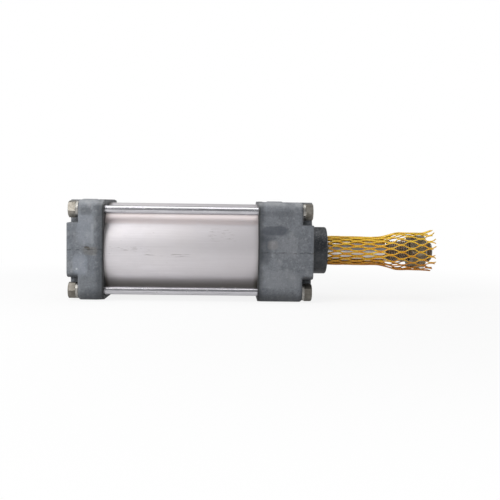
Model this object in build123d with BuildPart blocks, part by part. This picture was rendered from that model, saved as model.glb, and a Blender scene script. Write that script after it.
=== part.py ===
from build123d import *
import math
import os

# Double-acting tie-rod air cylinder, bore 100, stroke 125, modelled with its rod drawn in.
#
# Frame: +X runs out along the piston rod, +Z points up through the air ports, and the
# origin lies on the rod axis in the front mounting face.  All lengths are in millimetres.
#
# Order of pieces along -X: net and lock nut on the rod end, rod gland, front cap, barrel with
# the piston inside, rear cap.  Four tie rods clamp the two caps onto the barrel.

os.makedirs("parts", exist_ok=True)

# ---- Driving dimensions ---------------------------------------------------------------------

bore_diameter = 100.0
barrel_wall = 2.0
stroke = 125.0
end_gap = 0.3                   # piston face to cap spigot at either end of the stroke

cap_margin = 3.0                # barrel to the cap's side
cap_side = bore_diameter + 2 * (barrel_wall + cap_margin)
cap_corner_radius = 10.0
front_cap_body = 49.0           # barrel side to the nut seats
rear_cap_body = 28.0
boss_height = 12.0              # cross-shaped boss above the nut seats
boss_root_radius = 6.0
boss_edge_radius = 1.5
seat_edge_radius = 3.0
front_rim_width = 4.5           # drafted band at the barrel side of the cap
rear_rim_width = 7.5
rim_draft = 3.0                 # degrees
rim_lip_height = 0.4            # low cast lip on top of that band
rim_lip_length = 70.0

spigot_length = 7.0
barrel_seat_depth = 3.0

tie_rod_edge = 10.5             # tie-rod axis to the cap's side
tie_rod_spacing = cap_side - 2 * tie_rod_edge
tie_rod_diameter = 9.0
tie_rod_thread = 10.0
tie_rod_thread_length = 26.0
tie_rod_end_chamfer = 1.0
tie_rod_hole_gap = 0.5          # radial, in the caps
tie_rod_protrusion = 0.4        # beyond its nuts
nut_width = 17.0
nut_height = 8.4
nut_face_share = 0.48           # radius of the washer face to the width across flats
nut_chamfer_angle = 30.0
washer_diameter = 18.0
washer_thickness = 2.6
washer_split = 1.2
washer_split_angle = 15.0
washer_bore_gap = 0.15
spanner_gap = 4.7               # nut corner to the wall of the boss
boss_width = tie_rod_spacing - 2 * (nut_width / math.sqrt(3) + spanner_gap)
front_nut_angles = (-11.6, 17.0, 4.0, 28.6)      # near top, far top, far bottom, near bottom
rear_nut_angles = (11.0, -23.0, 8.0, 0.0)

rod_diameter = 30.0
rod_reach = 69.0                # gland face to the rod's front shoulder
rod_thread_diameter = 24.0
rod_thread_length = 54.0
rod_thread_pitch = 2.0
thread_depth_share = 0.65       # of the pitch, at the relief groove
rod_tip_chamfer = 2.5
rod_shoulder_chamfer = 1.5
relief_length = 3.0
relief_chamfer = 1.0
flats_width = 27.0
flats_length = 14.0
flats_setback = 7.5             # shoulder to the spanner flats
lock_nut_width = 36.0
lock_nut_height = 19.0
lock_nut_setback = 8.0          # rod tip to the nut's front face

gland_diameter = 54.0
gland_projection = 19.0
gland_edge_radius = 2.0
gland_step = 2.0                # flange to the thread behind it, radial
gland_thread_diameter = gland_diameter - 2 * gland_step
gland_depth = 22.0
gland_collar_length = 3.0       # plain collar that sits in the cap's counterbore
gland_collar_step = 0.6         # flange to that collar, radial
counterbore_gap = 0.3           # counterbore to the flange's outline, radial
gland_pin_hole = 4.0            # two holes in the nose for a pin spanner
gland_pin_depth = 5.0
gland_pin_circle = 44.0
gland_groove_setback = 3.0      # gland's rear end to its O-ring groove
bush_setback = 1.0              # gland's rear end to the bush
bush_seal_land = 3.0            # bush to the rod seal
gland_wall_gap = 0.5            # gland bore to the rod, outside the bush
bush_length = 16.0
bush_wall = 2.5
rod_seal_length = 7.0
rod_seal_wall = 5.0
wiper_length = 5.5
wiper_wall = 4.0
wiper_heel = 1.2                # wiper bore behind the lip, off the rod
wiper_crown = 2.0
wiper_lip = 0.5
wiper_recess = 0.6              # wiper's crown below the gland's face

piston_length = 29.0
piston_clearance = 0.4
piston_seal_length = 5.5
piston_seal_depth = 6.0
wear_ring_length = 9.0
wear_ring_depth = 2.0
piston_land = 2.5
piston_oring_width = 2.6
piston_oring_depth = 2.0
piston_seat_diameter = 22.0
sleeve_seat_diameter = 26.0
cushion_diameter = 40.0
cushion_length = 20.0
cushion_chamber_gap = 3.0       # sleeve to the wall of its chamber, radial
cushion_mouth_gap = 1.5         # sleeve to the mouth of its chamber, radial
cushion_mouth_length = 3.0
cushion_seal_section = 5.9      # its radial width
cushion_seal_length = 5.0
cushion_seal_clearance = 0.1
piston_nut_width = 30.0
piston_nut_height = 10.0
piston_thread_diameter = 20.0
rod_rear_protrusion = 0.5       # beyond the piston nut
rod_rear_chamfer = 1.5

port_setback = 20.0             # barrel side of the cap to the port axis
port_thread_radius = 9.5        # G1/2 tapping size
port_thread_depth = 14.0
port_face_diameter = 28.0
port_face_depth = 0.5
port_gallery_radius = 6.0
gallery_reach = 0.85            # of the chamber's radius, above the axis

mount_hole_radius = 4.25        # M10 tapping size
mount_hole_depth = 12.0
mount_hole_edge = 2.75          # gland flange to the edge of each hole
mount_circle = gland_diameter + 2 * (mount_hole_radius + mount_hole_edge)

needle_setback = 18.3           # barrel side of the cap to the needle axis
needle_offset = 28.0            # needle axis to the port axis, towards -Y
needle_diameter = 9.0
needle_nose_diameter = 5.9
needle_shoulder_depth = 21.0    # cap top down to the step in the needle hole
needle_seat_depth = 27.0        # cap top down to the needle's seat
needle_lift = 3.0               # travel from closed to fully open
needle_slot_width = 1.2
needle_slot_depth = 1.6
slot_overrun = 1.2              # slot cutters to the diameter they cross
needle_ring_length = 2.0
needle_ring_wall = 1.2
drilling_radius = 1.5
drilling_drop = 1.0             # needle seat to the drilling below it
needle_body_gap = 0.2           # step in the needle hole to the closed needle
needle_ring_land = 1.0
needle_tip_rise = 0.5
needle_taper_length = 2.5
needle_tip_inset = 0.4
needle_pad_diameter = 19.0      # low cast pad round each needle
needle_pad_height = 0.8
needle_pad_slope = 65.0         # degrees from upright
retainer_diameter = 13.0        # slotted ring round the needle's top
retainer_length = 4.8
retainer_gap = 0.1              # ring's bore to the needle hole, radial
retainer_slot_width = 1.6
retainer_slot_depth = 1.2
retainer_slot_angle = 35.0

net_wall = 1.5
net_clearance = 0.3
net_gland_gap = 0.1
net_reach = 2.5                 # beyond the rod tip
net_flare_length = 19.0
net_flare_overlap = 4.0         # where the flare starts, behind the rod's shoulder

o_ring_width = 3.2
o_ring_depth = 2.4
fit_gap = 0.03                  # radial, shafts running in their bush, seals or bore
seat_gap = 0.02                 # radial, pieces of one body pushed onto each other
groove_gap = 0.05               # around a ring lying in its groove

# ---- Places worked out from them ------------------------------------------------------------

bore_radius = bore_diameter / 2
barrel_radius = bore_radius + barrel_wall
rod_radius = rod_diameter / 2
tie_offset = tie_rod_spacing / 2
cap_top = cap_side / 2

chamber_length = piston_length + stroke + 2 * end_gap
front_seat_x = -boss_height
front_inner_x = front_seat_x - front_cap_body
pad_top = cap_top + needle_pad_height
front_spigot_x = front_inner_x - spigot_length
rear_spigot_x = front_spigot_x - chamber_length
rear_inner_x = rear_spigot_x - spigot_length
rear_seat_x = rear_inner_x - rear_cap_body
rear_face_x = rear_seat_x - boss_height

front_port_x = front_inner_x + port_setback
rear_port_x = rear_inner_x - port_setback
front_needle_x = front_inner_x + needle_setback
rear_needle_x = rear_inner_x - needle_setback

piston_front_x = rear_spigot_x + end_gap + piston_length
piston_rear_x = rear_spigot_x + end_gap
front_sleeve_x = piston_front_x + cushion_length
rear_sleeve_x = piston_rear_x - cushion_length
rod_rear_x = rear_sleeve_x - piston_nut_height - rod_rear_protrusion

shoulder_x = gland_projection + rod_reach
tip_x = shoulder_x + rod_thread_length
lock_nut_x = tip_x - lock_nut_setback - lock_nut_height
flats_front_x = shoulder_x - flats_setback
flats_rear_x = flats_front_x - flats_length

spigot_radius = bore_radius - groove_gap
spigot_groove_radius = bore_radius - o_ring_depth
cushion_radius = cushion_diameter / 2
chamber_radius = cushion_radius + cushion_chamber_gap
mouth_radius = cushion_radius + cushion_mouth_gap
cushion_bore_radius = cushion_radius + cushion_seal_clearance
cushion_seal_radius = cushion_bore_radius + cushion_seal_section
cushion_groove_radius = cushion_seal_radius + groove_gap
needle_radius = needle_diameter / 2
needle_hole_radius = needle_radius + groove_gap
nose_radius = needle_nose_diameter / 2
nose_hole_radius = nose_radius + groove_gap

near_top = (-tie_offset, tie_offset)
far_top = (tie_offset, tie_offset)
far_bottom = (tie_offset, -tie_offset)
near_bottom = (-tie_offset, -tie_offset)
corners = (near_top, far_top, far_bottom, near_bottom)

# Planes across the rod axis: one looks out of the front of the cylinder, one out of the rear.
out_of_front = Plane.YZ
out_of_rear = Plane(origin=(0, 0, 0), x_dir=(0, -1, 0), z_dir=(-1, 0, 0))
side = Plane.XZ                  # X across, Z up: the half-profile of every turned piece


def front_plane(x):
    """Plane across the axis at x, facing the front."""
    return out_of_front.offset(x)


def rear_plane(x):
    """Plane across the axis at x, facing the rear."""
    return out_of_rear.offset(-x)


def save(piece, label):
    """Label a finished piece and write it."""
    piece.part.label = label
    export_step(piece.part, f"parts/{label}.step")


# ---- End caps -------------------------------------------------------------------------------
# Each cap is a cast block: a square body with round corners, a drafted band at the barrel side,
# a cross-shaped boss that leaves four nut seats, and a turned spigot that enters the barrel.


def cap_groove_faces(spigot_x, direction):
    """Ends of the O-ring groove in a cap's spigot; direction points into the cap."""
    middle = spigot_x + direction * spigot_length / 2
    half = o_ring_width / 2 + groove_gap
    return middle - half, middle + half


front_groove = cap_groove_faces(front_spigot_x, 1)
rear_groove = cap_groove_faces(rear_spigot_x, -1)
front_mouth_x = front_spigot_x + cushion_mouth_length
front_cushion_groove_x = front_mouth_x + cushion_seal_length + 2 * groove_gap
rear_mouth_x = rear_spigot_x - cushion_mouth_length
rear_cushion_groove_x = rear_mouth_x - cushion_seal_length - 2 * groove_gap
rear_chamber_x = rear_port_x - port_gallery_radius
gallery_depth = cap_top - gallery_reach * chamber_radius
drilling_height = cap_top - needle_seat_depth - drilling_radius - drilling_drop
counterbore_radius = gland_diameter / 2 + counterbore_gap
cross_height = cap_top - (needle_shoulder_depth + needle_seat_depth) / 2

with BuildPart() as front_cap:
    with BuildSketch(front_plane(front_inner_x + front_rim_width)):
        RectangleRounded(cap_side, cap_side, cap_corner_radius)
    extrude(amount=front_cap_body - front_rim_width)
    fillet(front_cap.faces().sort_by(Axis.X)[-1].edges(), seat_edge_radius)
    with BuildSketch(rear_plane(front_inner_x + front_rim_width)):
        RectangleRounded(cap_side, cap_side, cap_corner_radius)
    extrude(amount=front_rim_width, taper=rim_draft)
    with BuildSketch(Plane.XY.offset(cap_top - seat_edge_radius)):
        with Locations((front_inner_x + front_rim_width / 2, 0)):
            Rectangle(front_rim_width, rim_lip_length)
    extrude(amount=seat_edge_radius + rim_lip_height)
    with BuildSketch(front_plane(front_seat_x - seat_edge_radius)) as cross:
        Rectangle(cap_side, boss_width)
        Rectangle(boss_width, cap_side)
        inner_corners = cross.vertices().sort_by(lambda v: v.Y**2 + v.Z**2)[:4]
        fillet(inner_corners, boss_root_radius)
    extrude(amount=boss_height + seat_edge_radius)
    fillet(front_cap.faces().sort_by(Axis.X)[-1].edges(), boss_edge_radius)
    with BuildSketch(side):
        with BuildLine():
            Polyline(
                (front_inner_x, 0),
                (front_inner_x, spigot_radius),
                (front_groove[1], spigot_radius),
                (front_groove[1], spigot_groove_radius),
                (front_groove[0], spigot_groove_radius),
                (front_groove[0], spigot_radius),
                (front_spigot_x, spigot_radius),
                (front_spigot_x, 0),
                close=True,
            )
        make_face()
    revolve(axis=Axis.X)
    with BuildSketch(front_plane(front_inner_x)):
        Circle(barrel_radius + groove_gap)
        Circle(spigot_radius, mode=Mode.SUBTRACT)
    extrude(amount=barrel_seat_depth, mode=Mode.SUBTRACT)
    with BuildSketch(side):
        with BuildLine():
            Polyline(
                (front_spigot_x, 0),
                (front_spigot_x, mouth_radius),
                (front_mouth_x, mouth_radius),
                (front_mouth_x, cushion_groove_radius),
                (front_cushion_groove_x, cushion_groove_radius),
                (front_cushion_groove_x, chamber_radius),
                (-gland_depth, chamber_radius),
                (-gland_depth, gland_thread_diameter / 2),
                (-gland_collar_length, gland_thread_diameter / 2),
                (-gland_collar_length, counterbore_radius),
                (0, counterbore_radius),
                (0, 0),
                close=True,
            )
        make_face()
    revolve(axis=Axis.X, mode=Mode.SUBTRACT)
    with Locations(front_plane(front_seat_x)):
        with GridLocations(tie_rod_spacing, tie_rod_spacing, 2, 2):
            Hole(tie_rod_thread / 2 + tie_rod_hole_gap, depth=front_cap_body)
    with Locations(front_plane(0)):
        with PolarLocations(mount_circle / 2, 4):
            Hole(mount_hole_radius, depth=mount_hole_depth)
    with Locations((front_port_x, 0, cap_top)):
        Hole(port_face_diameter / 2, depth=port_face_depth)
        Hole(port_thread_radius, depth=port_thread_depth)
        Hole(port_gallery_radius, depth=gallery_depth)
    with BuildSketch(Plane.XY.offset(cap_top)):
        with Locations((front_needle_x, -needle_offset)):
            Circle(needle_pad_diameter / 2)
    extrude(amount=needle_pad_height, taper=needle_pad_slope)
    with Locations((front_needle_x, -needle_offset, pad_top)):
        Hole(retainer_diameter / 2 + seat_gap, depth=retainer_length)
        Hole(needle_hole_radius, depth=needle_shoulder_depth + needle_pad_height)
        Hole(nose_hole_radius, depth=needle_seat_depth + needle_pad_height)
        Hole(drilling_radius, depth=pad_top - drilling_height + drilling_radius)
    with BuildSketch(rear_plane(front_needle_x + drilling_radius)):
        with Locations((needle_offset, drilling_height)):
            Circle(drilling_radius)
    extrude(amount=front_needle_x + drilling_radius - front_spigot_x, mode=Mode.SUBTRACT)
    with BuildSketch(Plane.XZ.offset(needle_offset)):
        with Locations((front_needle_x, cross_height)):
            Circle(drilling_radius)
    extrude(amount=-(needle_offset - port_gallery_radius / 2), mode=Mode.SUBTRACT)
save(front_cap, "front_cap")

with BuildPart() as rear_cap:
    with BuildSketch(rear_plane(rear_inner_x - rear_rim_width)):
        RectangleRounded(cap_side, cap_side, cap_corner_radius)
    extrude(amount=rear_cap_body - rear_rim_width)
    fillet(rear_cap.faces().sort_by(Axis.X)[0].edges(), seat_edge_radius)
    with BuildSketch(front_plane(rear_inner_x - rear_rim_width)):
        RectangleRounded(cap_side, cap_side, cap_corner_radius)
    extrude(amount=rear_rim_width, taper=rim_draft)
    with BuildSketch(Plane.XY.offset(cap_top - seat_edge_radius)):
        with Locations((rear_inner_x - rear_rim_width / 2, 0)):
            Rectangle(rear_rim_width, rim_lip_length)
    extrude(amount=seat_edge_radius + rim_lip_height)
    with BuildSketch(rear_plane(rear_seat_x + seat_edge_radius)) as cross:
        Rectangle(cap_side, boss_width)
        Rectangle(boss_width, cap_side)
        inner_corners = cross.vertices().sort_by(lambda v: v.Y**2 + v.Z**2)[:4]
        fillet(inner_corners, boss_root_radius)
    extrude(amount=boss_height + seat_edge_radius)
    fillet(rear_cap.faces().sort_by(Axis.X)[0].edges(), boss_edge_radius)
    with BuildSketch(side):
        with BuildLine():
            Polyline(
                (rear_inner_x, 0),
                (rear_inner_x, spigot_radius),
                (rear_groove[0], spigot_radius),
                (rear_groove[0], spigot_groove_radius),
                (rear_groove[1], spigot_groove_radius),
                (rear_groove[1], spigot_radius),
                (rear_spigot_x, spigot_radius),
                (rear_spigot_x, 0),
                close=True,
            )
        make_face()
    revolve(axis=Axis.X)
    with BuildSketch(rear_plane(rear_inner_x)):
        Circle(barrel_radius + groove_gap)
        Circle(spigot_radius, mode=Mode.SUBTRACT)
    extrude(amount=barrel_seat_depth, mode=Mode.SUBTRACT)
    with BuildSketch(side):
        with BuildLine():
            Polyline(
                (rear_spigot_x, 0),
                (rear_spigot_x, mouth_radius),
                (rear_mouth_x, mouth_radius),
                (rear_mouth_x, cushion_groove_radius),
                (rear_cushion_groove_x, cushion_groove_radius),
                (rear_cushion_groove_x, chamber_radius),
                (rear_chamber_x, chamber_radius),
                (rear_chamber_x, 0),
                close=True,
            )
        make_face()
    revolve(axis=Axis.X, mode=Mode.SUBTRACT)
    with Locations(rear_plane(rear_seat_x)):
        with GridLocations(tie_rod_spacing, tie_rod_spacing, 2, 2):
            Hole(tie_rod_thread / 2 + tie_rod_hole_gap, depth=rear_cap_body)
    with Locations(rear_plane(rear_face_x)):
        with PolarLocations(mount_circle / 2, 4):
            Hole(mount_hole_radius, depth=mount_hole_depth)
    with Locations((rear_port_x, 0, cap_top)):
        Hole(port_face_diameter / 2, depth=port_face_depth)
        Hole(port_thread_radius, depth=port_thread_depth)
        Hole(port_gallery_radius, depth=gallery_depth)
    with BuildSketch(Plane.XY.offset(cap_top)):
        with Locations((rear_needle_x, -needle_offset)):
            Circle(needle_pad_diameter / 2)
    extrude(amount=-seat_edge_radius)
    with BuildSketch(Plane.XY.offset(cap_top)):
        with Locations((rear_needle_x, -needle_offset)):
            Circle(needle_pad_diameter / 2)
    extrude(amount=needle_pad_height, taper=needle_pad_slope)
    with Locations((rear_needle_x, -needle_offset, pad_top)):
        Hole(retainer_diameter / 2 + seat_gap, depth=retainer_length)
        Hole(needle_hole_radius, depth=needle_shoulder_depth + needle_pad_height)
        Hole(nose_hole_radius, depth=needle_seat_depth + needle_pad_height)
        Hole(drilling_radius, depth=pad_top - drilling_height + drilling_radius)
    with BuildSketch(front_plane(rear_needle_x - drilling_radius)):
        with Locations((-needle_offset, drilling_height)):
            Circle(drilling_radius)
    extrude(amount=rear_spigot_x - rear_needle_x + drilling_radius, mode=Mode.SUBTRACT)
    with BuildSketch(Plane.XZ.offset(needle_offset)):
        with Locations((rear_needle_x, cross_height)):
            Circle(drilling_radius)
    extrude(amount=-(needle_offset - port_gallery_radius / 2), mode=Mode.SUBTRACT)
save(rear_cap, "rear_cap")

# ---- Barrel and its seals -------------------------------------------------------------------

barrel_front_x = front_inner_x + barrel_seat_depth
barrel_rear_x = rear_inner_x - barrel_seat_depth

with BuildPart() as barrel_tube:
    with BuildSketch(front_plane(barrel_rear_x)):
        Circle(barrel_radius)
        Circle(bore_radius, mode=Mode.SUBTRACT)
    extrude(amount=barrel_front_x - barrel_rear_x)
save(barrel_tube, "barrel_tube")


def ring(label, x_low, x_high, inner_radius, outer_radius):
    """A plain ring around the rod axis, written under its own name."""
    with BuildPart() as piece:
        with BuildSketch(front_plane(x_low)):
            Circle(outer_radius)
            Circle(inner_radius, mode=Mode.SUBTRACT)
        extrude(amount=x_high - x_low)
    save(piece, label)


for label, groove in (("front_barrel_oring", front_groove), ("rear_barrel_oring", rear_groove)):
    low, high = sorted(groove)
    ring(
        label,
        low + groove_gap,
        high - groove_gap,
        spigot_groove_radius + groove_gap,
        bore_radius - seat_gap,
    )

ring(
    "front_cushion_seal",
    front_mouth_x + groove_gap,
    front_cushion_groove_x - groove_gap,
    cushion_bore_radius,
    cushion_seal_radius,
)
ring(
    "rear_cushion_seal",
    rear_cushion_groove_x + groove_gap,
    rear_mouth_x - groove_gap,
    cushion_bore_radius,
    cushion_seal_radius,
)

# ---- Tie rods, nuts and lock washers --------------------------------------------------------

nut_outer_front_x = front_seat_x + washer_thickness + nut_height
nut_outer_rear_x = rear_seat_x - washer_thickness - nut_height
tie_rod_front_x = nut_outer_front_x + tie_rod_protrusion
tie_rod_rear_x = nut_outer_rear_x - tie_rod_protrusion

with BuildPart() as tie_rod:
    with BuildSketch(side):
        with BuildLine():
            Polyline(
                (tie_rod_rear_x, 0),
                (tie_rod_rear_x, tie_rod_thread / 2 - tie_rod_end_chamfer),
                (tie_rod_rear_x + tie_rod_end_chamfer, tie_rod_thread / 2),
                (tie_rod_rear_x + tie_rod_thread_length, tie_rod_thread / 2),
                (tie_rod_rear_x + tie_rod_thread_length, tie_rod_diameter / 2),
                (tie_rod_front_x - tie_rod_thread_length, tie_rod_diameter / 2),
                (tie_rod_front_x - tie_rod_thread_length, tie_rod_thread / 2),
                (tie_rod_front_x - tie_rod_end_chamfer, tie_rod_thread / 2),
                (tie_rod_front_x, tie_rod_thread / 2 - tie_rod_end_chamfer),
                (tie_rod_front_x, 0),
                close=True,
            )
        make_face()
    revolve(axis=Axis.X)

for number, (y, z) in enumerate(corners, start=1):
    with BuildPart() as placed_rod:
        with Locations((0, y, z)):
            add(tie_rod.part)
    save(placed_rod, f"tie_rod_{number}")


def hexagon_nut(width, height, hole_radius, both_ends):
    """A nut standing on the YZ plane: hexagon with 30 degree chamfers on its outer faces."""
    corner_radius = width / math.sqrt(3)
    face_radius = width * nut_face_share
    chamfer_drop = (corner_radius - face_radius) * math.tan(math.radians(nut_chamfer_angle))
    base = [(0, face_radius), (chamfer_drop, corner_radius)] if both_ends else [(0, corner_radius)]
    with BuildPart() as nut:
        with BuildSketch(front_plane(0)):
            RegularPolygon(width / 2, 6, major_radius=False)
            Circle(hole_radius, mode=Mode.SUBTRACT)
        extrude(amount=height)
        with BuildSketch(side):
            with BuildLine():
                Polyline(
                    (0, 0),
                    *base,
                    (height - chamfer_drop, corner_radius),
                    (height, face_radius),
                    (height, 0),
                    close=True,
                )
            make_face()
        revolve(axis=Axis.X, mode=Mode.INTERSECT)
    return nut.part


tie_nut = hexagon_nut(nut_width, nut_height, tie_rod_thread / 2 + seat_gap, both_ends=False)

with BuildPart() as lock_washer:
    with BuildSketch(front_plane(0)):
        Circle(washer_diameter / 2)
        Circle(tie_rod_thread / 2 + washer_bore_gap, mode=Mode.SUBTRACT)
    extrude(amount=washer_thickness)
    slot_plane = Plane(
        origin=(washer_thickness / 2, 0, -washer_diameter / 2), x_dir=(1, 0, 0), z_dir=(0, 0, 1)
    ).rotated((0, 0, washer_split_angle))
    with BuildSketch(slot_plane):
        Rectangle(washer_thickness * 2, washer_split)
    extrude(amount=washer_diameter / 2, mode=Mode.SUBTRACT)

with BuildPart() as front_nuts:
    for (y, z), angle in zip(corners, front_nut_angles):
        with Locations(Location((front_seat_x + washer_thickness, y, z), (-angle, 0, 0))):
            add(tie_nut)
save(front_nuts, "front_tie_rod_nuts")

with BuildPart() as rear_nuts:
    for (y, z), angle in zip(corners, rear_nut_angles):
        with Locations(Location((rear_seat_x - washer_thickness, y, z), (angle, 180, 0))):
            add(tie_nut)
save(rear_nuts, "rear_tie_rod_nuts")

with BuildPart() as front_washers:
    for (y, z), angle in zip(corners, front_nut_angles):
        with Locations(Location((front_seat_x, y, z), (5 * angle, 0, 0))):
            add(lock_washer.part)
save(front_washers, "front_lock_washers")

with BuildPart() as rear_washers:
    for (y, z), angle in zip(corners, rear_nut_angles):
        with Locations(Location((rear_seat_x - washer_thickness, y, z), (5 * angle, 0, 0))):
            add(lock_washer.part)
save(rear_washers, "rear_lock_washers")

# ---- Rod gland with its bush, seal and wiper ------------------------------------------------

bush_outer_radius = rod_radius + fit_gap + bush_wall
seal_pocket_radius = rod_radius + rod_seal_wall
wiper_pocket_radius = rod_radius + wiper_wall
gland_bore_radius = rod_radius + gland_wall_gap
bush_rear_x = -gland_depth + bush_setback
bush_front_x = bush_rear_x + bush_length
seal_rear_x = bush_front_x + bush_seal_land
seal_front_x = seal_rear_x + rod_seal_length
wiper_rear_x = gland_projection - wiper_length
gland_thread_radius = gland_thread_diameter / 2 - seat_gap
gland_groove_rear_x = -gland_depth + gland_groove_setback
gland_groove_front_x = gland_groove_rear_x + o_ring_width + 2 * groove_gap
gland_groove_radius = gland_thread_radius - o_ring_depth
gland_collar_radius = gland_diameter / 2 - gland_collar_step

with BuildPart() as rod_gland:
    with BuildSketch(side):
        with BuildLine():
            Polyline(
                (-gland_depth, bush_outer_radius),
                (-gland_depth, gland_thread_radius),
                (gland_groove_rear_x, gland_thread_radius),
                (gland_groove_rear_x, gland_groove_radius),
                (gland_groove_front_x, gland_groove_radius),
                (gland_groove_front_x, gland_thread_radius),
                (-gland_collar_length, gland_thread_radius),
                (-gland_collar_length, gland_collar_radius),
                (0, gland_collar_radius),
                (0, gland_diameter / 2),
                (gland_projection, gland_diameter / 2),
                (gland_projection, wiper_pocket_radius),
                (wiper_rear_x, wiper_pocket_radius),
                (wiper_rear_x, gland_bore_radius),
                (seal_front_x, gland_bore_radius),
                (seal_front_x, seal_pocket_radius),
                (seal_rear_x, seal_pocket_radius),
                (seal_rear_x, gland_bore_radius),
                (bush_front_x, gland_bore_radius),
                (bush_front_x, bush_outer_radius),
                close=True,
            )
        make_face()
    revolve(axis=Axis.X)
    nose_edge = rod_gland.faces().sort_by(Axis.X)[-1].edges().sort_by(SortBy.LENGTH)[-1]
    fillet(nose_edge, gland_edge_radius)
    with Locations(front_plane(gland_projection)):
        with PolarLocations(gland_pin_circle / 2, 2):
            Hole(gland_pin_hole / 2, depth=gland_pin_depth)
save(rod_gland, "rod_gland")

ring("rod_bush", bush_rear_x, bush_front_x, rod_radius + fit_gap, bush_outer_radius - seat_gap)
ring(
    "rod_seal",
    seal_rear_x + groove_gap,
    seal_front_x - groove_gap,
    rod_radius + fit_gap,
    seal_pocket_radius - seat_gap,
)
ring(
    "gland_oring",
    gland_groove_rear_x + groove_gap,
    gland_groove_front_x - groove_gap,
    gland_groove_radius + groove_gap,
    gland_thread_diameter / 2 - seat_gap,
)

# The wiper's lip leans outwards from its seat onto the rod.
with BuildPart() as rod_wiper:
    with BuildSketch(side):
        with BuildLine():
            Polyline(
                (wiper_rear_x + groove_gap, rod_radius + fit_gap + wiper_heel),
                (wiper_rear_x + groove_gap, wiper_pocket_radius - seat_gap),
                (gland_projection - wiper_recess, wiper_pocket_radius - seat_gap),
                (gland_projection - wiper_recess, rod_radius + wiper_crown),
                (gland_projection, rod_radius + fit_gap + wiper_lip),
                (gland_projection, rod_radius + fit_gap),
                (gland_projection - 2 * wiper_lip, rod_radius + fit_gap),
                close=True,
            )
        make_face()
    revolve(axis=Axis.X)
save(rod_wiper, "rod_wiper")

# ---- Cushion needles ------------------------------------------------------------------------
# A needle throttles the air trapped behind the piston.  Its threaded body turns in the cap, an
# O-ring seals it, and a slotted ring screwed in round its top guards its slot.

needle_body_low = cap_top - needle_shoulder_depth + needle_body_gap
needle_ring_low = needle_body_low + needle_ring_land
needle_ring_high = needle_ring_low + needle_ring_length
needle_groove_radius = needle_radius - needle_ring_wall
needle_tip_height = cap_top - needle_seat_depth + needle_tip_rise
needle_top = pad_top - needle_lift

needles = (("front", front_needle_x), ("rear", rear_needle_x))
for place, x in needles:
    with BuildPart() as needle:
        with BuildSketch(Plane.XZ):
            with BuildLine():
                Polyline(
                    (0, needle_tip_height),
                    (drilling_radius - needle_tip_inset, needle_tip_height),
                    (nose_radius, needle_tip_height + needle_taper_length),
                    (nose_radius, needle_body_low),
                    (needle_radius, needle_body_low),
                    (needle_radius, needle_ring_low - groove_gap),
                    (needle_groove_radius, needle_ring_low - groove_gap),
                    (needle_groove_radius, needle_ring_high + groove_gap),
                    (needle_radius, needle_ring_high + groove_gap),
                    (needle_radius, needle_top),
                    (0, needle_top),
                    close=True,
                )
            make_face()
        revolve(axis=Axis.Z)
        with BuildSketch(Plane.XY.offset(needle_top)):
            Rectangle(needle_diameter * slot_overrun, needle_slot_width)
        extrude(amount=-needle_slot_depth, mode=Mode.SUBTRACT)
    with BuildPart() as placed_needle:
        with Locations((x, -needle_offset, 0)):
            add(needle.part)
    save(placed_needle, f"{place}_cushion_needle")

    with BuildPart() as needle_ring:
        with BuildSketch(Plane.XY.offset(needle_ring_low)):
            with Locations((x, -needle_offset)):
                Circle(needle_hole_radius - groove_gap / 2)
                Circle(needle_groove_radius + groove_gap, mode=Mode.SUBTRACT)
        extrude(amount=needle_ring_length)
    save(needle_ring, f"{place}_needle_oring")

    with BuildPart() as needle_retainer:
        with BuildSketch(Plane.XY.offset(pad_top)):
            with Locations((x, -needle_offset)):
                Circle(retainer_diameter / 2)
                Circle(needle_hole_radius + retainer_gap, mode=Mode.SUBTRACT)
        extrude(amount=-retainer_length)
        with BuildSketch(Plane.XY.offset(pad_top)):
            with Locations((x, -needle_offset)):
                Rectangle(
                    retainer_diameter * slot_overrun, retainer_slot_width, rotation=retainer_slot_angle
                )
        extrude(amount=-retainer_slot_depth, mode=Mode.SUBTRACT)
    save(needle_retainer, f"{place}_needle_retainer")

# ---- Piston and what rides on it ------------------------------------------------------------

piston_radius = bore_radius - piston_clearance
piston_seal_radius = bore_radius - piston_seal_depth
wear_groove_radius = bore_radius - wear_ring_depth
front_seal_front = piston_front_x - piston_land
front_seal_rear = front_seal_front - piston_seal_length - 2 * groove_gap
rear_seal_rear = piston_rear_x + piston_land
rear_seal_front = rear_seal_rear + piston_seal_length + 2 * groove_gap
piston_middle_x = (piston_front_x + piston_rear_x) / 2
wear_front = piston_middle_x + wear_ring_length / 2 + groove_gap
wear_rear = piston_middle_x - wear_ring_length / 2 - groove_gap
piston_bore_radius = piston_seat_diameter / 2 + seat_gap
piston_ring_low = piston_middle_x - piston_oring_width / 2
piston_ring_high = piston_middle_x + piston_oring_width / 2
piston_ring_radius = piston_bore_radius + piston_oring_depth

with BuildPart() as piston:
    with BuildSketch(side):
        with BuildLine():
            Polyline(
                (piston_rear_x, piston_bore_radius),
                (piston_rear_x, piston_radius),
                (rear_seal_rear, piston_radius),
                (rear_seal_rear, piston_seal_radius),
                (rear_seal_front, piston_seal_radius),
                (rear_seal_front, piston_radius),
                (wear_rear, piston_radius),
                (wear_rear, wear_groove_radius),
                (wear_front, wear_groove_radius),
                (wear_front, piston_radius),
                (front_seal_rear, piston_radius),
                (front_seal_rear, piston_seal_radius),
                (front_seal_front, piston_seal_radius),
                (front_seal_front, piston_radius),
                (piston_front_x, piston_radius),
                (piston_front_x, piston_bore_radius),
                (piston_ring_high, piston_bore_radius),
                (piston_ring_high, piston_ring_radius),
                (piston_ring_low, piston_ring_radius),
                (piston_ring_low, piston_bore_radius),
                close=True,
            )
        make_face()
    revolve(axis=Axis.X)
save(piston, "piston")

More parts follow.
